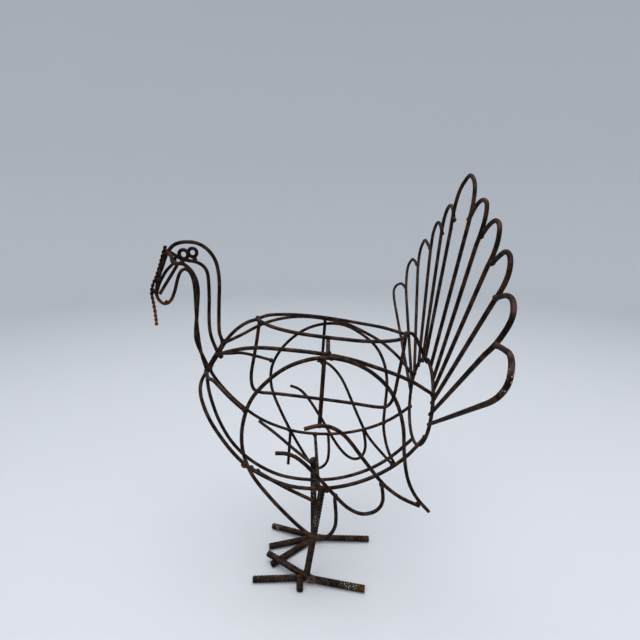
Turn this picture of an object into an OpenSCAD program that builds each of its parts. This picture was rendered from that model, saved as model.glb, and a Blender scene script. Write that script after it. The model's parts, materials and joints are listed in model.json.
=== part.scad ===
/* [Stock] */
// Diameter of the plain round rod that the frame is bent from
rod_d = 4.8; // [4:0.2:6]
// Outer diameter of the ribbed reinforcing bar, measured over its ribs
rebar_d = 10.6; // [9.8:0.1:11]
// Diameter of a weld bead where two rods meet
bead_d = 9; // [7:0.5:11]

/* [Head] */
// Height of the top of the head above the ground
head_top = 514; // [510:1:520]
// Outside diameter of the bent eye rings
eye_d = 16.5; // [15:0.5:19]
// Width across the pair of neck rods
neck_w = 44; // [40:1:50]

/* [Body] */
// Width across the round hoop on the back
back_w = 105; // [95:1:115]
// Width across the body frame at its widest stringers
body_w = 176; // [168:1:184]
// Width across the oval ring that carries the tail
ring_w = 115; // [110:1:120]
// Height of that oval ring
ring_h = 127; // [124:1:132]

/* [Tail] */
// Height of the tip of the middle tail feather
tail_top = 600; // [590:1:620]
// How far the middle of the tail leans back for each millimetre that it rises
tail_lean = 0.14; // [0.12:0.01:0.17]

/* [Feet] */
// Height of the hub of each foot, where its leg and toes are welded
hub_h = 9; // [8:0.5:12]

/* [Hidden] */

rod_r = rod_d / 2;
rebar_r = rebar_d / 2;
neck_y = neck_w / 2;
back_y = back_w / 2;
body_y = body_w / 2;
ring_y = ring_w / 2;
ring_z = ring_h / 2;

// The turkey faces -X. Its left side is -Y and its right side is +Y. The ground is Z = 0.
LEFT = -1;
RIGHT = 1;

// Colours of the old iron
rust = "#4a342c";
dark_rust = "#33261f";
weld_rust = "#5d4234";

SIDES = 8;
// A tube with 8 flat sides has the same section area as the round rod when it is this much wider
FLAT_SIDE_GAIN = 1.054;

// Every point below is measured from under the middle of the body. The part's own origin is
// under the middle of its whole box, so each primitive moves by this much.
TO_ORIGIN = [5, 0, 0];

// ---- Points and curves ----

// A list of points [x, y, z] that is laid out for the right side, put on the given side
function on_side(side, points) = [for (p = points) [p.x, side * p.y, p.z]];

function unit(v) = v / norm(v);

// The point at t, from 0 to 1, on the smooth curve between b and c, with a and d as the neighbours
function smooth_point(a, b, c, d, t) =
    0.5 * (2 * b + (c - a) * t + (2 * a - 5 * b + 4 * c - d) * t * t + (3 * b - a - 3 * c + d) * t * t * t);

// A smooth open curve through the points, with the given number of steps between each pair
function smooth(points, steps) =
    let (last = len(points) - 1)
    concat(
        [for (i = [0 : last - 1], s = [0 : steps - 1])
            smooth_point(
                i == 0 ? 2 * points[0] - points[1] : points[i - 1],
                points[i],
                points[i + 1],
                i == last - 1 ? 2 * points[last] - points[last - 1] : points[i + 2],
                s / steps)],
        [points[last]]);

// Unit tangents along a path
function tangents(path, closed) =
    let (n = len(path))
    [for (i = [0 : n - 1])
        unit(
            path[closed ? (i + 1) % n : min(i + 1, n - 1)]
            - path[closed ? (i + n - 1) % n : max(i - 1, 0)])];

// What is left of v once its part along the unit vector t is taken away, as a unit vector
function across(v, t) = unit(v - (v * t) * t);

// Normals carried along the path without twist
function normals(ts) =
    let (start = across(abs(ts[0].z) < 0.8 ? [0, 0, 1] : [0, 1, 0], ts[0]))
    [for (i = 0, n = start; i < len(ts);
        i = i + 1, n = i < len(ts) ? across(n, ts[i]) : n) n];

// A round tube along a path. A closed path must lie in one plane.
module sweep(path, d, closed = false) {
    r = d / 2 * FLAT_SIDE_GAIN;
    n = len(path);
    ts = tangents(path, closed);
    ns = normals(ts);
    rings = [for (i = [0 : n - 1], k = [0 : SIDES - 1])
        let (
            angle = 360 * k / SIDES,
            out = cos(angle) * ns[i] + sin(angle) * cross(ts[i], ns[i]))
        TO_ORIGIN + path[i] + r * out];
    walls = [for (i = [0 : closed ? n - 1 : n - 2], k = [0 : SIDES - 1])
        let (
            j = (i + 1) % n,
            m = (k + 1) % SIDES)
        [i * SIDES + k, i * SIDES + m, j * SIDES + m, j * SIDES + k]];
    ends = closed ? [] : [
        [for (k = [SIDES - 1 : -1 : 0]) k],
        [for (k = [0 : SIDES - 1]) (n - 1) * SIDES + k]];
    outward = [for (f = concat(walls, ends)) [for (k = [len(f) - 1 : -1 : 0]) f[k]]];
    polyhedron(points = rings, faces = outward);
}

// One bent rod through hand-set points
module rod(points, steps = 3, d = rod_d) {
    color(rust) sweep(smooth(points, steps), d);
}

// A straight round bar between two points
module bar(from, to, d) {
    v = to - from;
    translate(from + TO_ORIGIN)
        rotate([0, acos(v.z / norm(v)), atan2(v.y, v.x)])
            cylinder(h = norm(v), d = d, $fn = 32);
}

module straight_rod(from, to) {
    color(rust) bar(from, to, rod_d);
}

module rebar(from, to) {
    color(dark_rust) bar(from, to, rebar_d);
}

// Weld beads, one at each point [x, y, z]
module beads(points, d = bead_d) {
    color(weld_rust)
        for (p = points)
            translate(p + TO_ORIGIN) sphere(d = d, $fn = 24);
}

// ---- Head and neck ----

// Where the collar bar carries the ends of the neck rods and of the body stringers
collar_top = [-120, 0, 374];
collar_end = [-149, 0, 329];
function on_collar(part, y = 0) = collar_top + part * (collar_end - collar_top) + [0, y, 0];

brow = [-189, 0, head_top - 12];

module crest_rod() {
    rod([brow, [-181, 0, head_top - 4], [-168, 0, head_top], [-150, 0, head_top - 1],
        [-135, 0, head_top - 10], [-125, 0, head_top - 26], [-122, 0, 462], [-125, 0, 425],
        [-127, 0, 390], [-124, 0, 377], on_collar(0.15)]);
}

// The two neck rods share the brow, bend over the cheeks and run down to the collar
module left_neck_rod() {
    rod([[-189, -3, 501], [-182, -8, 495], [-180, -12, 489], [-173, -14, 487], [-163, -17, 486],
        [-154, -19, 479], [-147, 1 - neck_y, 467], [-145, -neck_y, 452], [-147, 1 - neck_y, 437],
        [-151, -19, 413], [-156, -14, 388], [-155, -10, 370], on_collar(0.86, -4)], steps = 3);
}

module right_neck_rod() {
    rod([[-188, 4, 500], [-184, 9, 496], [-178, 13, 491], [-169, 16, 488], [-159, 18, 486],
        [-150, 19, 481], [-145, neck_y - 1, 472], [-144, neck_y, 458], [-145, neck_y, 430],
        [-146, 18, 404], [-143, 11, 380], on_collar(0.42, 4)], steps = 3);
}

// The wattle hangs from the throat as one open loop of the same rod
module throat_rod() {
    rod([[-212, 0, 445], [-209, 0, 435], [-201, 0, 429], [-192, 0, 434], [-185, 0, 448],
        [-179, 0, 466], [-173, 0, 476], [-165, 0, 477], [-159, 0, 467], [-157, 0, 448],
        [-158, 0, 410], [-157, 0, 375], [-154, 0, 350], collar_end], d = rod_d * 0.9);
}

module eye_ring(side) {
    color(rust)
        translate(TO_ORIGIN + [-162, side * 17, 499])
            rotate([90, 0, 0])
                rotate_extrude($fn = 48)
                    translate([(eye_d - rod_d) / 2, 0])
                        circle(d = rod_d, $fn = 24);
}

module left_eye_ring() {
    eye_ring(LEFT);
}

module right_eye_ring() {
    eye_ring(RIGHT);
}

BEAK_TIP = [-212, 0, 443];

module upper_beak_rod() {
    rod([[-190, 0, 503], [-198, 0, 484], [-206, 0, 466], BEAK_TIP], steps = 4);
}

module left_beak_rod() {
    color(rust) bar([-173, -13, 485], [-205, -3, 444], rod_d * 0.85);
}

module right_beak_rod() {
    rod([[-189, 13, 484], [-198, 10, 475], [-204, 7, 465], [-209, 5, 455], [-212, 2, 443]],
        d = rod_d * 0.85);
}

// Two thin wires, twisted together, lie along the front of the beak and hang on below it
module snood_wire() {
    rod([[-192, 0, 509], [-196, 0, 500], [-202, 0, 484], [-209, 0, 467], [-215, 0, 456],
        [-218, 0, 444], [-217, 0, 431], [-216, 0, 415], [-216, 0, 398]]);
}

module collar_bar() {
    color(rust) bar(collar_top + [1, 0, 2], collar_end, rod_d * 1.5);
}

// ---- Back, body and keel ----

HOOP_FRONT = [-71, 0, 408];
HOOP_REAR = [139, 0, 386];

module hoop_link_rod() {
    rod([on_collar(0.02), [-105, 0, 390], [-88, 0, 402], HOOP_FRONT]);
}

// One side of the hoop, from its front point to its rear point
BACK_SIDE = [[-60, 22, 408], [-38, back_y - 12, 405], [-5, back_y - 1, 401], [35, back_y, 396],
    [78, back_y - 6, 390], [110, back_y - 18, 387], [130, 17, 385]];

module back_hoop() {
    rod(concat([HOOP_FRONT], on_side(LEFT, BACK_SIDE), [HOOP_REAR]));
    rod(concat([HOOP_FRONT], on_side(RIGHT, BACK_SIDE), [HOOP_REAR]));
}

module tail_link_rod() {
    rod([HOOP_REAR, [146, 0, 388], [153, 0, 381], [160, 0, 367], [170, 0, 347]]);
}

// The U under the hoop, which a pot can stand in
module basket_rod() {
    rod([[-69, 0, 404], [-73, 0, 380], [-79, 0, 350], [-84, 0, 325], [-83, 0, 304], [-73, 0, 296],
        [-50, 0, 294], [0, 0, 288], [60, 0, 280], [105, 0, 273], [119, 0, 277], [126, 0, 292],
        [131, 0, 325], [136, 0, 360], [138, 0, 382]]);
}

UPPER_SIDE = [[-104, 40, 373], [-80, 58, 383], [-55, 72, 389], [-22, body_y - 3, 391],
    [15, body_y, 388], [55, body_y - 1, 380], [85, body_y - 7, 368], [115, 69, 353]];

module left_upper_stringer() {
    rod(concat([on_collar(0.42, -3)], on_side(LEFT, UPPER_SIDE),
        [[140, -57, 337.5], [157, -51, 325], [169, -50, 317]]));
}

module right_upper_stringer() {
    rod(concat([on_collar(0.06, 3)], on_side(RIGHT, UPPER_SIDE),
        [[140, 57, 333], [153, 53, 318], [164, 52, 304]]));
}

module left_shoulder_rod() {
    rod([on_collar(0.98, -3), [-138, -30, 331], [-125, -47, 334], [-110, -65, 331],
        [-94, -77, 322], [-76, -82, 308]]);
}

module right_shoulder_rod() {
    rod([on_collar(0.5, 3), [-136, 25, 347], [-125, 47, 340], [-112, 64, 335], [-95, 75, 327],
        [-66, 82, 316]]);
}

LOWER_SIDE = [[-103, 58, 234], [-84, 63, 217], [-58, 67, 202], [-25, 70, 190], [10, 70, 186],
    [45, 68, 188], [80, 64, 196], [112, 59, 210], [136, 54, 226], [153, 49, 242], [163, 46, 253]];

module left_lower_stringer() {
    rod(concat([on_collar(0.92, -4), [-154, -14, 317], [-150, -30, 301], [-136, -45, 277],
        [-120, -52, 254]], on_side(LEFT, LOWER_SIDE)));
}

module right_lower_stringer() {
    rod(concat([on_collar(0.66, 4), [-148, 14, 326], [-147, 27, 308], [-137, 40, 282],
        [-121, 50, 256]], on_side(RIGHT, LOWER_SIDE)));
}

module keel_rod() {
    rod([collar_end, [-149, 0, 305], [-145, 0, 280], [-136, 0, 248], [-118, 0, 211],
        [-90, 0, 180], [-52, 0, 157], [-12, 0, 148], [30, 0, 148], [66, 0, 156], [100, 0, 171],
        [130, 0, 193], [157, 0, 221]]);
}

// Short rods from the hoop out to the upper stringer
module back_tie(side, x) {
    straight_rod([x, side * (back_y - 2), 394], [x, side * (body_y + 1), 384]);
}

module left_back_tie() {
    back_tie(LEFT, 28);
}

module right_back_tie() {
    back_tie(RIGHT, 24);
}

// The bar under the body that the legs hang from
CROSSBAR_H = 181;

module leg_crossbar() {
    straight_rod([16, -66, CROSSBAR_H], [7, 74, CROSSBAR_H]);
}

module left_leg_brace() {
    rod([[-86, -60, 214], [-60, -64, 202], [-30, -60, 179], [14, -54, 150]]);
}

module right_leg_brace() {
    rod([[-88, 62, 214], [-57, 45, 200], [-30, 26, 188], [4, 3, 174]]);
}

module belly_stub() {
    straight_rod([-36, 73, 190], [-41, 70, 126]);
}

// ---- Wings ----

// Each wing is one rod: the front feather, the bow over the wing and the tail-ward tip
module left_wing_rod() {
    rod([[38, -78, 177], [40, -80, 150], [38, -80, 131], [28, -80, 116], [12, -80, 114],
        [-10, -78, 130], [-37, -76, 159], [-61, -72, 187], [-76, -69, 209], [-85, -67, 235],
        [-85, -74, 263], [-80, -81, 292], [-69, -86, 323], [-50, -90, 348], [-22, -92, 371],
        [12, -93, 383], [44, -93, 382], [74, -90, 369], [100, -84, 345], [117, -77, 314],
        [127, -70, 278], [131, -64, 240], [138, -62, 199], [152, -60, 167], [172, -59, 142]]);
}

module right_wing_rod() {
    rod([[30, 78, 177], [31, 80, 150], [29, 80, 128], [21, 80, 115], [9, 79, 112],
        [-4, 78, 126], [-20, 77, 155], [-38, 75, 193], [-55, 79, 230], [-67, 83, 262],
        [-69, 86, 290], [-62, 88, 315], [-42, 91, 343], [-12, 93, 366], [22, 93, 377],
        [56, 93, 375], [85, 90, 360], [110, 86, 338], [124, 80, 308], [128, 75, 275],
        [125, 68, 239], [123, 63, 209], [127, 61, 181], [134, 60, 157], [145, 59, 135]]);
}

module left_wing_feather_2() {
    rod([[-37, -101, 261], [-20, -97, 257], [-4, -91, 242], [18, -81, 209], [38, -74, 179],
        [56, -71, 157], [76, -70, 146], [95, -71, 152], [104, -73, 170], [101, -73, 199]]);
}

module right_wing_feather_2() {
    rod([[-37, 102, 261], [-20, 95, 257], [-3, 89, 240], [22, 80, 202], [42, 74, 168],
        [60, 70, 146], [77, 70, 137], [90, 71, 144], [95, 73, 162], [91, 74, 190]]);
}

module left_wing_feather_3() {
    rod([[0, -110, 300], [18, -109, 304], [35, -104, 298], [52, -96, 280], [73, -84, 244],
        [95, -74, 208], [110, -71, 189], [130, -69, 172], [156, -65, 156]]);
}

module right_wing_feather_3() {
    rod([[10, 110, 305], [25, 108, 303], [40, 102, 293], [56, 95, 272], [76, 83, 227],
        [92, 76, 192], [105, 72, 172], [122, 69, 152], [142, 66, 130]]);
}

// Struts that hold the third feather out from the wing bow
module wing_strut(side) {
    straight_rod([24, side * 91, 390], [18, side * 106, 302]);
}

module left_wing_strut() {
    wing_strut(LEFT);
}

module right_wing_strut() {
    wing_strut(RIGHT);
}

// ---- Tail ----

RING_MID = [165, 0, 283.5];
RING_TILT = 6;
RING_STEPS = 44;

// A point on the tail ring at an angle from its top, positive towards +Y
function on_ring(angle) =
    RING_MID + [ring_z * cos(angle) * sin(RING_TILT), ring_y * sin(angle), ring_z * cos(angle)];

module tail_ring() {
    color(rust) sweep([for (i = [0 : RING_STEPS - 1]) on_ring(360 * i / RING_STEPS)], rod_d, closed = true);
}

// Every feather is one rod: straight from the ring for most of its length, then bent over and
// down until its end meets the next feather in. Points are [x, y, z], laid out for the right side.
// The fan leans back by its own lean, which tail_lean scales about the top of the ring.
FAN_FOOT = [172, 343];
FAN_LEAN = 0.14;
TAIL_H = 600;

function lean_back(p) =
    let (
        rise = p.z - FAN_FOOT[1],
        stretch = rise > 0 ? (tail_top - FAN_FOOT[1]) / (TAIL_H - FAN_FOOT[1]) : 1)
    [p.x + (tail_lean - FAN_LEAN) * rise, p.y, FAN_FOOT[1] + rise * stretch];

CENTRE_ROOT = [172, 15, 343];
CENTRE_BEND = [[199, 31, 530], [201.5, 33.5, 550], [204, 32, 569], [206, 25, 584], [207.5, 13, 593]];

ROOTS = [[172.5, 31, 333], [170, 43, 321], [166.5, 51, 306], [164, 55, 291], [163, 56, 277]];
BENDS = [
    [[197, 70, 512], [200, 75, 530], [202.5, 76, 547], [204.5, 70, 560], [204.5, 57, 564], [203.5, 42, 558],
        [201.5, 29, 543]],
    [[194.5, 112, 492], [197.5, 118.5, 508], [199.5, 120.5, 523], [201.5, 115, 536], [202, 103, 540.5],
        [201.5, 88, 535], [200.5, 74, 524]],
    [[186, 153.5, 462], [189.5, 164, 480], [192, 167, 495], [194.5, 160.5, 507], [195, 150, 511.5],
        [195.5, 137, 507], [196.5, 119.5, 498]],
    [[172.5, 175, 415], [175.5, 193, 434], [178.5, 204, 452], [181, 205.5, 464], [184, 196, 473.5],
        [184.5, 183, 475.5], [186, 160, 469]]
];
// The last feather is bent by hand, and the left one is longer than the right one
LEFT_LAST = [[160, 211, 383], [159.5, 231, 397], [160.5, 243, 409], [163, 247, 420], [166, 243, 431],
    [169.5, 232, 437], [172, 217, 436.5], [174.5, 198, 434]];
RIGHT_LAST = [[160.5, 208, 381], [160.5, 224, 392], [161, 236, 402], [162, 240, 411], [165, 233, 420],
    [168.5, 221, 425], [171, 208, 427], [173.5, 186, 423]];

function feather_path(side, number, steps = 4) =
    let (
        root = ROOTS[number - 1],
        bend = number <= len(BENDS) ? BENDS[number - 1] : side == LEFT ? LEFT_LAST : RIGHT_LAST)
    on_side(side, [for (p = concat([root], smooth(bend, steps))) lean_back(p)]);

module tail_feather_centre() {
    tip = [208, 0, TAIL_H - rod_r];
    half = concat([for (p = on_side(LEFT, CENTRE_BEND)) p], [tip]);
    loop = smooth(concat(half, [for (i = [len(CENTRE_BEND) - 1 : -1 : 0]) CENTRE_BEND[i]]), 4);
    path = concat(on_side(LEFT, [CENTRE_ROOT]), loop, [CENTRE_ROOT]);
    color(rust) sweep([for (p = path) lean_back(p)], rod_d);
}

module tail_feather(side, number) {
    color(rust) sweep(feather_path(side, number), rod_d);
}

module left_tail_feather_1() {
    tail_feather(LEFT, 1);
}

module left_tail_feather_2() {
    tail_feather(LEFT, 2);
}

module left_tail_feather_3() {
    tail_feather(LEFT, 3);
}

module left_tail_feather_4() {
    tail_feather(LEFT, 4);
}

module left_tail_feather_5() {
    tail_feather(LEFT, 5);
}

module right_tail_feather_1() {
    tail_feather(RIGHT, 1);
}

module right_tail_feather_2() {
    tail_feather(RIGHT, 2);
}

module right_tail_feather_3() {
    tail_feather(RIGHT, 3);
}

module right_tail_feather_4() {
    tail_feather(RIGHT, 4);
}

module right_tail_feather_5() {
    tail_feather(RIGHT, 5);
}

// ---- Legs and feet ----

LEFT_HUB = [-4, -46, hub_h];
RIGHT_HUB = [5, 29, hub_h];

module left_leg() {
    rebar(LEFT_HUB - [0, 0, 2], [21, -63, CROSSBAR_H + 1]);
}

module right_leg() {
    rebar(RIGHT_HUB - [0, 0, 2], [6.5, 5, CROSSBAR_H]);
}

// A foot's front toes are welded one over another at the hub and laid to the ground
module front_toes(hub, tips) {
    for (i = [0 : len(tips) - 1])
        rebar(hub + [0, 0, 2 * i - 2], tips[i]);
}

// The left foot's inner toe lies across the right foot's, and its outer toe is only a stub
module left_front_toes() {
    front_toes(LEFT_HUB, [[-86, -49, rebar_r], [-68, -12, rebar_r + 11.3]]);
    rebar([-14, -47, rebar_r + 2], [-12.5, -66, rebar_r]);
}

module right_front_toes() {
    front_toes(RIGHT_HUB, [[-61, -22.5, rebar_r], [-70, 12.5, rebar_r], [-70, 58, rebar_r]]);
}

// Length of the weld fillet at the root of a hind toe. All of the toe beyond it is clear bar.
TOE_ROOT = 14;

module hind_toe(start, tip) {
    along = unit(tip - start);
    root = start + TOE_ROOT * along;
    rebar(root, tip);
    color(weld_rust)
        translate(TO_ORIGIN + start + 3 * along)
            rotate([0, acos(along.z), atan2(along.y, along.x)])
                cylinder(h = TOE_ROOT - 2, r1 = rebar_r + 1.5, r2 = rebar_r - 0.3, $fn = 32);
}

module left_hind_toe() {
    hind_toe(LEFT_HUB + [2, -3, 0], [85, -62, rebar_r]);
}

module right_hind_toe() {
    hind_toe(RIGHT_HUB, [101, 32, rebar_r]);
}

// ---- Weld beads ----

module head_welds() {
    beads([brow, [-165, -16, 489], [-160, 17, 489], [-175, -12, 486], [-166, 0, 478], [-186, 11, 490]], 7);
    beads([[-207, 0, 464], [-213, 0, 447]], 7.5);
    beads([[-198, 0, 432]], 5.5);
}

module body_welds() {
    beads([collar_top, on_collar(0.3), on_collar(0.55), on_collar(0.8), collar_end]);
    // Drips of weld below the collar, along the left leg brace and behind the left leg's top
    beads([[-127, 0, 352], [-77, -62, 212], [-68, -63, 207], [27.5, -60.5, 176]], 7.5);
    beads([HOOP_FRONT, HOOP_REAR, [-86, -63, 217], [16, -65, 185], [7, 71, 184], [5, 2, 181]]);
    beads([[28, -body_y - 1, 387], [24, body_y + 1, 387]]);
}

module wing_welds() {
    beads([[-76, -83, 310], [-67, 84, 315], [39, -76, 179], [101, -74, 197], [154, -64, 158],
        [123, 62, 212], [-38, 73, 192], [141, 62.5, 133], [30, 78, 180],
        [91, 74, 190], [32, -93, 384]], 8);
    beads([for (side = [LEFT, RIGHT]) [18, side * 107, 303]], 7);
}

module tail_welds() {
    beads([[171, 0, 347], [168, -50, 318], [166, 52, 307]]);
    beads([for (side = [LEFT, RIGHT]) [162, side * 46, 252]], 7);
    beads([for (side = [LEFT, RIGHT], k = [1 : len(ROOTS)])
        let (path = feather_path(side, k)) path[len(path) - 1]], 7);
}

module foot_welds() {
    beads([LEFT_HUB + [0, 0, 5], RIGHT_HUB + [0, 0, 5]], 14);
}

// ---- Output ----

crest_rod();
left_neck_rod();
right_neck_rod();
throat_rod();
left_eye_ring();
right_eye_ring();
upper_beak_rod();
left_beak_rod();
right_beak_rod();
snood_wire();
collar_bar();
hoop_link_rod();
back_hoop();
tail_link_rod();
basket_rod();
left_upper_stringer();
right_upper_stringer();
left_shoulder_rod();
right_shoulder_rod();
left_lower_stringer();
right_lower_stringer();
keel_rod();
left_back_tie();
right_back_tie();
leg_crossbar();
left_leg_brace();
right_leg_brace();
belly_stub();
left_wing_rod();
left_wing_feather_2();
left_wing_feather_3();
left_wing_strut();
right_wing_rod();
right_wing_feather_2();
right_wing_feather_3();
right_wing_strut();
tail_ring();
tail_feather_centre();
left_tail_feather_1();
left_tail_feather_2();
left_tail_feather_3();
left_tail_feather_4();
left_tail_feather_5();
right_tail_feather_1();
right_tail_feather_2();
right_tail_feather_3();
right_tail_feather_4();
right_tail_feather_5();
left_leg();
left_front_toes();
left_hind_toe();
right_leg();
right_front_toes();
right_hind_toe();
head_welds();
body_welds();
wing_welds();
tail_welds();
foot_welds();
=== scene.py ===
"""The welded wire-frame turkey: bent rod, ribbed bar, twisted wire and weld beads, all rusted brown."""

import json
import math

import bpy
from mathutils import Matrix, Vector, noise


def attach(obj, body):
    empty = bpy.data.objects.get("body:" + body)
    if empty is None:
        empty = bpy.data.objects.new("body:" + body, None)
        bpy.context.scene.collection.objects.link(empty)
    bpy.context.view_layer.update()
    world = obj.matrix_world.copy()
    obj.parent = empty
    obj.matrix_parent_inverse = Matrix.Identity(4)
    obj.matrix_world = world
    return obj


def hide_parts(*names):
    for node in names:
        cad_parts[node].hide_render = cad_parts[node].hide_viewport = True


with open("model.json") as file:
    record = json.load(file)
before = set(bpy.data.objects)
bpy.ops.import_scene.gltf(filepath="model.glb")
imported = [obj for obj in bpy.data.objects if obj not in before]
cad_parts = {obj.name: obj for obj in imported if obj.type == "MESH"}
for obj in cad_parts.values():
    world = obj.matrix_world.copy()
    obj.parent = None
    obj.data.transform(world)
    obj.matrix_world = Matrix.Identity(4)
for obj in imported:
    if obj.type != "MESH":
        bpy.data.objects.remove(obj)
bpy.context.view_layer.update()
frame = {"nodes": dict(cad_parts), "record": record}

MM = 0.001

# ---- The same dimensions as the part, in millimetres ----
TO_ORIGIN = Vector((5, 0, 0))
REBAR_R = 5.3
CROSSBAR_H = 181
HUB_H = 9
LEFT_HUB = Vector((-4, -46, HUB_H))
RIGHT_HUB = Vector((5, 29, HUB_H))
TOE_ROOT = 14
SNOOD = [
    (-192, 0, 509), (-196, 0, 500), (-202, 0, 484), (-209, 0, 467), (-215, 0, 456),
    (-218, 0, 444), (-217, 0, 431), (-216, 0, 415), (-216, 0, 398),
]

# ---- Details that only the visual model has, in millimetres ----
BAR_CORE_R = 4.6
BAR_SIDES = 36
BAR_RING_STEP = 0.45
LONG_RIB_WIDTH = 0.36  # radians to each side
LONG_RIB_HEIGHT = 0.85  # share of the cross ribs' height
CROSS_RIB_STEP = 5.6
CROSS_RIB_WIDTH = 1.9
CROSS_RIB_SLANT = 1.7
PITTING = 0.1
EDGE_ROUNDING = 0.35
FILLET_HEIGHT = 0.9
FILLET_LUMPS = 0.5
STRAND_R = 1.2
STRAND_OFFSET = 1.19
STRAND_TURN = 12.5
STRAND_SIDES = 14
STRAND_RING_STEP = 0.7


def srgb(red, green, blue):
    """A colour written as 0 to 255 display values, as the linear colour that a shader takes."""
    def linear(value):
        value /= 255
        return value / 12.92 if value <= 0.04045 else ((value + 0.055) / 1.055) ** 2.4
    return (linear(red), linear(green), linear(blue), 1)


# ---- Materials ----
# Painted top light: the next colour is mixed onto up-facing surfaces, as if lit from above.
TOP_LIGHT_COLOUR = srgb(98, 77, 68)
OLD_PAINT = srgb(186, 180, 166)

# How fine each pattern is, in repeats to the metre
PATCHES = 95.0
BLOOM = 210.0
GRAIN = 620.0
PAINT_SPECKS = 420.0


class Graph:
    """A node tree with short ways to add and join nodes."""

    def __init__(self, tree):
        self.tree = tree

    def add(self, kind, inputs=(), **settings):
        made = self.tree.nodes.new(kind)
        for name, value in settings.items():
            setattr(made, name, value)
        for name, value in dict(inputs).items():
            if isinstance(value, bpy.types.NodeSocket):
                self.tree.links.new(value, made.inputs[name])
            else:
                made.inputs[name].default_value = value
        return made

    def noise(self, where, scale, detail=6.0, roughness=0.6):
        values = {"Vector": where, "Scale": scale, "Detail": detail, "Roughness": roughness}
        return self.add("ShaderNodeTexNoise", values).outputs["Fac"]

    def step(self, value, low, high, top=1.0):
        """value, as 0 below low and as top above high, with a smooth rise between."""
        inputs = {"Value": value, "From Min": low, "From Max": high, "To Min": 0.0, "To Max": top}
        return self.add("ShaderNodeMapRange", inputs, interpolation_type="SMOOTHSTEP").outputs["Result"]

    def near(self, where, place, reach):
        """1 at place, in millimetres, and 0 beyond reach."""
        here = tuple(value * MM for value in Vector(place) + TO_ORIGIN)
        gap = self.add("ShaderNodeVectorMath", {0: where, 1: here}, operation="DISTANCE")
        return self.step(gap.outputs["Value"], reach * MM, 0.25 * reach * MM)

    def mix(self, share, first, second):
        """The first colour, with that share of the second in it. A mix node's colours are inputs 6 and 7."""
        return self.add("ShaderNodeMix", {0: share, 6: first, 7: second}, data_type="RGBA").outputs[2]

    def product(self, first, second):
        return self.add("ShaderNodeMath", {0: first, 1: second}, operation="MULTIPLY").outputs["Value"]


def rusted(name, dark, brown, orange, orange_from, top_light_share=0.45, bump=0.35,
           worn=None, spots=(), flecks=(), low_rust=None):
    """Rusted steel: dark scale with browner patches, orange bloom, and a paler colour painted on up-facing
    patches as painted top light.

    worn is the colour of rib tops. spots are places (point, reach) with more orange rust, and
    flecks are places with specks of old paint. low_rust holds the height in metres above which
    there is no more rust than elsewhere, and the lower one from which there is the most."""
    material = bpy.data.materials.new(name)
    material.use_nodes = True
    graph = Graph(material.node_tree)
    shader = material.node_tree.nodes["Principled BSDF"]
    where = graph.add("ShaderNodeTexCoord").outputs["Object"]
    patches = graph.noise(where, PATCHES)
    grain = graph.noise(where, GRAIN, detail=4.0)
    bloom = graph.noise(where, BLOOM, detail=8.0, roughness=0.72)
    colour = graph.mix(graph.step(patches, 0.42, 0.68), dark, brown)
    colour = graph.mix(graph.step(grain, 0.5, 0.75, 0.4), colour, tuple(0.45 * c for c in dark[:3]) + (1,))
    up = graph.add("ShaderNodeSeparateXYZ", {"Vector": graph.add("ShaderNodeNewGeometry").outputs["Normal"]})
    # Painted light: up-facing surfaces take the paler top colour in patches, as light from above would show
    # them.
    painted_top_light = graph.product(graph.step(up.outputs["Z"], 0.1, 1.0, top_light_share), graph.step(patches, 0.25, 0.7))
    colour = graph.mix(painted_top_light, colour, TOP_LIGHT_COLOUR)
    colour = graph.mix(graph.step(bloom, orange_from, orange_from + 0.12, 0.8), colour, orange)
    if worn:
        relief = graph.add("ShaderNodeAttribute", attribute_name="relief").outputs["Fac"]
        rubbed = graph.product(graph.step(relief, 0.35, 0.95, 0.85), graph.step(bloom, 0.4, 0.6))
        colour = graph.mix(rubbed, colour, worn)
    for place, reach in spots:
        rust = graph.product(graph.near(where, place, reach), graph.step(bloom, 0.38, 0.62, 0.6))
        colour = graph.mix(rust, colour, orange)
    if low_rust:
        height = graph.add("ShaderNodeSeparateXYZ", {"Vector": where}).outputs["Z"]
        low = graph.step(height, low_rust[0], low_rust[1])
        rust = graph.product(low, graph.step(bloom, 0.36, 0.62, 0.75))
        colour = graph.mix(rust, colour, orange)
    for place, reach in flecks:
        cells = graph.add("ShaderNodeTexVoronoi", {"Vector": where, "Scale": PAINT_SPECKS})
        speck = graph.step(cells.outputs["Distance"], 0.42, 0.32)
        some = graph.product(speck, graph.step(grain, 0.44, 0.52, 0.8))
        colour = graph.mix(graph.product(some, graph.near(where, place, reach)), colour, OLD_PAINT)
    material.node_tree.links.new(colour, shader.inputs["Base Color"])
    rough = graph.step(bloom, 0.3, 0.7)
    rough = graph.add("ShaderNodeMapRange", {"Value": rough, "To Min": 0.55, "To Max": 0.9})
    material.node_tree.links.new(rough.outputs["Result"], shader.inputs["Roughness"])
    shader.inputs["Specular IOR Level"].default_value = 0.08
    heights = graph.mix(0.45, grain, bloom)
    relief = graph.add("ShaderNodeBump", {"Height": heights, "Strength": bump, "Distance": 0.4 * MM})
    material.node_tree.links.new(relief.outputs["Normal"], shader.inputs["Normal"])
    return material


def plain(name, colour, roughness):
    """One even colour, for the floor."""
    material = bpy.data.materials.new(name)
    material.use_nodes = True
    shader = material.node_tree.nodes["Principled BSDF"]
    shader.inputs["Base Color"].default_value = colour
    shader.inputs["Roughness"].default_value = roughness
    shader.inputs["Specular IOR Level"].default_value = 0.2
    return material


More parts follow.
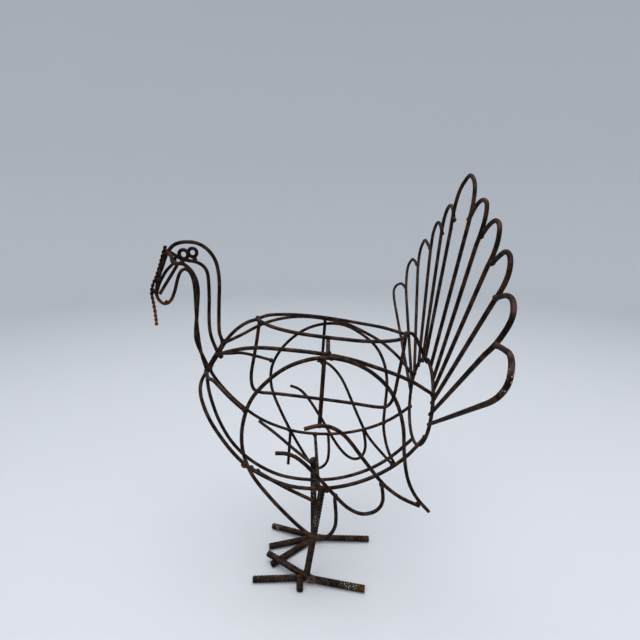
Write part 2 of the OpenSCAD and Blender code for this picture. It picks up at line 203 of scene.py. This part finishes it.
OLD_IRON = srgb(18, 12, 9), srgb(66, 43, 31), srgb(112, 62, 32)
ROD = rusted("rusted_rod", *OLD_IRON, 0.64)
FLECKED_ROD = rusted("rusted_rod_flecked", *OLD_IRON, 0.64, flecks=[((163, -247, 421), 14)])
WATTLE = rusted("rusted_wattle", *OLD_IRON, 0.64, spots=[((-200, 0, 430), 24)])
BAR = rusted("rusted_bar", srgb(14, 11, 9), srgb(44, 34, 27), srgb(112, 66, 34), 0.58,
             top_light_share=0.25, bump=0.5, worn=srgb(104, 88, 68),
             spots=[((83, -62, 7), 16), ((101, 32, 7), 10)],
             flecks=[((-62, 51, 10), 9), ((14, -60, 128), 16), ((7, 8, 120), 20), ((62, -57, 10), 20)])
WELD = rusted("rusted_weld", srgb(24, 17, 14), srgb(72, 50, 41), srgb(120, 68, 38), 0.6, bump=0.6)
WIRE = rusted("rusted_wire", srgb(20, 14, 11), srgb(56, 38, 28), srgb(140, 88, 50), 0.62,
              low_rust=(0.442, 0.415))
CUT_END = rusted("rusted_cut", srgb(64, 38, 26), srgb(98, 58, 36), srgb(150, 84, 44), 0.5)


# ---- Shapes made here ----
def smooth(points, steps):
    """The part's own smooth curve through the points, in millimetres."""
    points = [Vector(p) for p in points]
    ends = [2 * points[0] - points[1]] + points + [2 * points[-1] - points[-2]]
    path = []
    for a, b, c, d in zip(ends, ends[1:], ends[2:], ends[3:]):
        for s in range(steps):
            t = s / steps
            path.append(0.5 * (2 * b + (c - a) * t + (2 * a - 5 * b + 4 * c - d) * t * t
                               + (3 * b - a - 3 * c + d) * t * t * t))
    return path + [points[-1]]


def evenly(path, step):
    """The same path with points about one step apart."""
    spots = [path[0].copy()]
    for a, b in zip(path, path[1:]):
        count = max(1, round((b - a).length / step))
        spots += [a.lerp(b, (k + 1) / count) for k in range(count)]
    return spots


def tube(name, path, radius, sides, material, end_material=None):
    """A closed tube along path. radius(along, angle) is in millimetres, as the path is.

    Its attribute relief says how far a point of a ribbed bar is from the core, 0, to a rib's top, 1."""
    last = len(path) - 1
    tangents = [(path[min(i + 1, last)] - path[max(i - 1, 0)]).normalized() for i in range(last + 1)]
    start = Vector((0, 0, 1)) if abs(tangents[0].z) < 0.8 else Vector((0, 1, 0))
    normal = (start - start.dot(tangents[0]) * tangents[0]).normalized()
    points = []
    relief = []
    along = 0.0
    for i, (spot, tangent) in enumerate(zip(path, tangents)):
        along += (spot - path[i - 1]).length if i else 0.0
        normal = (normal - normal.dot(tangent) * tangent).normalized()
        second = tangent.cross(normal)
        for k in range(sides):
            angle = math.tau * k / sides
            out = math.cos(angle) * normal + math.sin(angle) * second
            size = radius(along, angle)
            points.append((spot + TO_ORIGIN + size * out) * MM)
            relief.append((size - BAR_CORE_R) / (REBAR_R - BAR_CORE_R))
    faces = []
    for i in range(last):
        for k in range(sides):
            m = (k + 1) % sides
            faces.append((i * sides + k, i * sides + m, (i + 1) * sides + m, (i + 1) * sides + k))
    walls = len(faces)
    faces.append(tuple(range(sides - 1, -1, -1)))
    faces.append(tuple(last * sides + k for k in range(sides)))
    mesh = bpy.data.meshes.new(name)
    mesh.from_pydata(points, [], faces)
    mesh.materials.append(material)
    mesh.materials.append(end_material or material)
    mesh.attributes.new("relief", "FLOAT", "POINT").data.foreach_set("value", relief)
    for polygon in mesh.polygons:
        polygon.use_smooth = polygon.index < walls
        polygon.material_index = 1 if polygon.index >= walls else 0
    mesh.set_sharp_from_angle(angle=math.radians(70))
    mesh.update()
    made = bpy.data.objects.new(name, mesh)
    bpy.context.scene.collection.objects.link(made)
    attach(made, "root")
    return made


def rib(distance, width):
    """The height share of a rounded rib at that distance from its middle."""
    share = min(1.0, abs(distance) / (width / 2))
    return math.cos(share * math.pi / 2) ** 1.3


def ribbed(length, twist, fillet=0.0):
    """The radius of a reinforcing bar: two long ribs, slanted cross ribs, and a weld fillet at its start."""
    height = REBAR_R - BAR_CORE_R

    def radius(along, angle):
        round_bar = (angle + twist) % math.tau
        half = round_bar % math.pi
        long_rib = rib(min(half, math.pi - half), 2 * LONG_RIB_WIDTH)
        row = CROSS_RIB_STEP * (0.5 if round_bar > math.pi else 0)
        phase = (along + row + CROSS_RIB_SLANT * half) % CROSS_RIB_STEP
        cross_rib = rib(phase - CROSS_RIB_STEP / 2, CROSS_RIB_WIDTH)
        pits = PITTING * noise.noise(Vector((along / 3, round_bar * 1.3, twist)))
        size = BAR_CORE_R + height * max(LONG_RIB_HEIGHT * long_rib, cross_rib) + pits - 0.8 * PITTING
        limit = REBAR_R
        if along < fillet:
            place = Vector((along / 2.2, 2.2 * math.cos(angle), 2.2 * math.sin(angle)))
            lump = FILLET_LUMPS * noise.noise(place)
            size = max(size, REBAR_R + FILLET_HEIGHT - 1.2 * along / fillet + lump)
            limit += FILLET_HEIGHT + FILLET_LUMPS
        edge = min(along, length - along)
        return min(size, limit) - max(0.0, EDGE_ROUNDING - edge)
    return radius


def bar(name, start, end, node, twist=0.0, fillet=0.0, end_material=None):
    """One straight length of ribbed bar from start to end, which stands for a CAD node.

    twist turns its ribs about it, and fillet is the length of weld round its start."""
    length = (end - start).length
    path = evenly([start, end], BAR_RING_STEP)
    made = tube(name, path, ribbed(length, twist, fillet), BAR_SIDES, BAR, end_material)
    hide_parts(node)


def legs_and_toes():
    ground = REBAR_R
    lower = Vector((0, 0, 2))
    bar("left_leg_bar", LEFT_HUB - lower, Vector((21, -63, CROSSBAR_H + 1)), "left_leg", 0.4)
    bar("right_leg_bar", RIGHT_HUB - lower, Vector((6.5, 5, CROSSBAR_H)), "right_leg", 1.1)
    front = {
        "left_middle_toe": (LEFT_HUB - lower, Vector((-86, -49, ground))),
        "left_inner_toe": (LEFT_HUB, Vector((-68, -12, ground + 11.3))),
        "left_outer_stub": (Vector((-14, -47, ground + 2)), Vector((-12.5, -66, ground))),
        "right_inner_toe": (RIGHT_HUB - lower, Vector((-61, -22.5, ground))),
        "right_middle_toe": (RIGHT_HUB, Vector((-70, 12.5, ground))),
        "right_outer_toe": (RIGHT_HUB + lower, Vector((-70, 58, ground))),
    }
    for turn, (name, (start, end)) in enumerate(front.items()):
        side = name.split("_")[0]
        bar(name, start, end, side + "_front_toes", 0.7 * turn)
    hind_start = LEFT_HUB + Vector((2, -3, 0))
    bar("left_hind_bar", hind_start, Vector((85, -62, ground)), "left_hind_toe", 0.9, TOE_ROOT, CUT_END)
    bar("right_hind_bar", RIGHT_HUB, Vector((101, 32, ground)), "right_hind_toe", 0.2, TOE_ROOT, CUT_END)


def twisted_wire():
    """The two strands that lie along the beak and hang on below it as the snood."""
    middle = evenly(smooth(SNOOD, 6), STRAND_RING_STEP)
    for number in (0, 1):
        along = 0.0
        strand = []
        for i, spot in enumerate(middle):
            along += (spot - middle[i - 1]).length if i else 0.0
            ahead = (middle[min(i + 1, len(middle) - 1)] - middle[max(i - 1, 0)]).normalized()
            across = Vector((0, 1, 0))
            turn = math.tau * along / STRAND_TURN + math.pi * number
            out = math.cos(turn) * across + math.sin(turn) * ahead.cross(across)
            strand.append(spot + STRAND_OFFSET * out)
        name = ("first", "second")[number] + "_snood_strand"
        made = tube(name, strand, lambda along, angle: STRAND_R, STRAND_SIDES, WIRE, CUT_END)
        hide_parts("snood_wire")


# ---- Looks put on the CAD nodes ----
WELD_SEAM = 0.03  # millimetres between two copies of one point of a CAD mesh
CREASE_ANGLE = 1.1  # radians: sharper folds than this, as at a cut end, aren't rounded
FLAT_ANGLE = 0.9  # radians: sharper folds than this are shaded as an edge


def rounder(name, swell, lump, lump_size, levels):
    """A geometry node group that rounds a faceted solid again and leaves its surface a little uneven.

    Catmull-Clark draws an eight-sided tube inwards, and swell puts that much back."""
    tree = bpy.data.node_groups.new(name, "GeometryNodeTree")
    tree.interface.new_socket("Geometry", in_out="INPUT", socket_type="NodeSocketGeometry")
    tree.interface.new_socket("Geometry", in_out="OUTPUT", socket_type="NodeSocketGeometry")
    graph = Graph(tree)
    given = graph.add("NodeGroupInput").outputs["Geometry"]
    merged = graph.add("GeometryNodeMergeByDistance", {"Geometry": given, "Distance": WELD_SEAM * MM})
    fold = graph.add("GeometryNodeInputMeshEdgeAngle").outputs["Unsigned Angle"]
    sharp = graph.add("FunctionNodeCompare", {"A": fold, "B": CREASE_ANGLE}, data_type="FLOAT",
                      operation="GREATER_THAN").outputs["Result"]
    finer = graph.add("GeometryNodeSubdivisionSurface",
                      {"Mesh": merged.outputs["Geometry"], "Level": levels, "Edge Crease": sharp})
    place = graph.add("GeometryNodeInputPosition").outputs["Position"]
    wave = graph.noise(place, 1 / (lump_size * MM), detail=3.0)
    size = graph.add("ShaderNodeMapRange", {
        "Value": wave, "From Min": 0.3, "From Max": 0.7,
        "To Min": (swell - lump) * MM, "To Max": (swell + lump) * MM,
    }).outputs["Result"]
    outward = graph.add("GeometryNodeInputNormal").outputs["Normal"]
    push = graph.add("ShaderNodeVectorMath", {"Scale": size, 0: outward}, operation="SCALE")
    moved = graph.add("GeometryNodeSetPosition",
                      {"Geometry": finer.outputs["Mesh"], "Offset": push.outputs["Vector"]})
    soft = graph.add("GeometryNodeSetShadeSmooth", {"Geometry": moved.outputs["Geometry"]})
    rim = graph.add("FunctionNodeCompare", {"A": fold, "B": FLAT_ANGLE}, data_type="FLOAT",
                    operation="GREATER_THAN").outputs["Result"]
    crisp = graph.add("GeometryNodeSetShadeSmooth", {
        "Geometry": soft.outputs["Geometry"], "Selection": rim, "Shade Smooth": False,
    }, domain="EDGE")
    graph.add("NodeGroupOutput", {"Geometry": crisp.outputs["Geometry"]})
    return tree


def dress(node, group, material):
    piece = frame["nodes"][node]
    piece.data.materials.clear()
    piece.data.materials.append(material)
    piece.data.polygons.foreach_set("use_smooth", [True] * len(piece.data.polygons))
    piece.modifiers.new("rounder", "NODES").node_group = group


def rods_and_welds():
    """The CAD's own rods, rings and beads. Rings and beads are round already, and take one level less."""
    rod_group = rounder("round_rod", swell=0.17, lump=0.06, lump_size=7, levels=2)
    ring_group = rounder("round_ring", swell=0.03, lump=0.06, lump_size=7, levels=1)
    weld_group = rounder("lumpy_weld", swell=-0.35, lump=0.75, lump_size=3.4, levels=1)
    marked = {"throat_rod": WATTLE, "left_tail_feather_5": FLECKED_ROD}
    for row in frame["record"]["subparts"]:
        if row["material_slot"] == "plain_rod":
            group = ring_group if row["node"].endswith("eye_ring") else rod_group
            dress(row["node"], group, marked.get(row["node"], ROD))
        elif row["material_slot"] == "weld_metal":
            dress(row["node"], weld_group, WELD)


# ---- Floor, light and camera ----
def backdrop():
    """A pale floor that curves up into a wall all round, the same from every side."""
    reach, bend, wall, turns, arc_steps = 2.6, 1.2, 4.6, 72, 10
    profile = [(0.5, 0.0), (reach, 0.0)]
    for k in range(1, arc_steps + 1):
        angle = math.pi / 2 * k / arc_steps
        profile.append((reach + bend * math.sin(angle), bend * (1 - math.cos(angle))))
    profile.append((reach + bend, wall))
    points = [(0.0, 0.0, 0.0)]
    for across, up in profile:
        for k in range(turns):
            angle = math.tau * k / turns
            points.append((across * math.cos(angle), across * math.sin(angle), up))
    faces = [(0, 1 + k, 1 + (k + 1) % turns) for k in range(turns)]
    for row in range(len(profile) - 1):
        for k in range(turns):
            m = (k + 1) % turns
            low, high = 1 + row * turns, 1 + (row + 1) * turns
            faces.append((low + k, high + k, high + m, low + m))
    mesh = bpy.data.meshes.new("floor")
    mesh.from_pydata(points, [], faces)
    mesh.materials.append(plain("pale_floor", srgb(214, 216, 220), 0.9))
    for polygon in mesh.polygons:
        polygon.use_smooth = True
    floor = bpy.data.objects.new("floor", mesh)
    bpy.context.scene.collection.objects.link(floor)


def softbox(name, place, target, size, power):
    light = bpy.data.lights.new(name, "AREA")
    light.shape = "DISK"
    light.size = size
    light.energy = power
    made = bpy.data.objects.new(name, light)
    made.location = place
    made.rotation_euler = (Vector(target) - Vector(place)).to_track_quat("-Z", "Y").to_euler()
    bpy.context.scene.collection.objects.link(made)


def lights():
    world = bpy.context.scene.world or bpy.data.worlds.new("world")
    bpy.context.scene.world = world
    world.use_nodes = True
    sky = world.node_tree.nodes["Background"]
    sky.inputs["Color"].default_value = (0.9, 0.95, 1.0, 1)
    sky.inputs["Strength"].default_value = 0.8
    middle = (0, 0, 0.3)
    softbox("top", (0.1, -0.3, 2.6), middle, 1.6, 32)
    softbox("key", (-1.3, -1.5, 1.9), middle, 1.2, 12)
    softbox("fill", (1.7, -0.9, 1.2), middle, 1.4, 6)


def camera():
    data = bpy.data.cameras.new("camera")
    data.lens = 21.1
    data.sensor_width = 36
    made = bpy.data.objects.new("camera", data)
    made.location = (0.031, -0.512, 0.535)
    made.rotation_euler = (math.radians(90 - 14.07), 0, math.radians(1.04))
    bpy.context.scene.collection.objects.link(made)
    bpy.context.scene.camera = made


legs_and_toes()
twisted_wire()
rods_and_welds()
backdrop()
lights()
camera()
bpy.context.scene.view_settings.view_transform = "Standard"
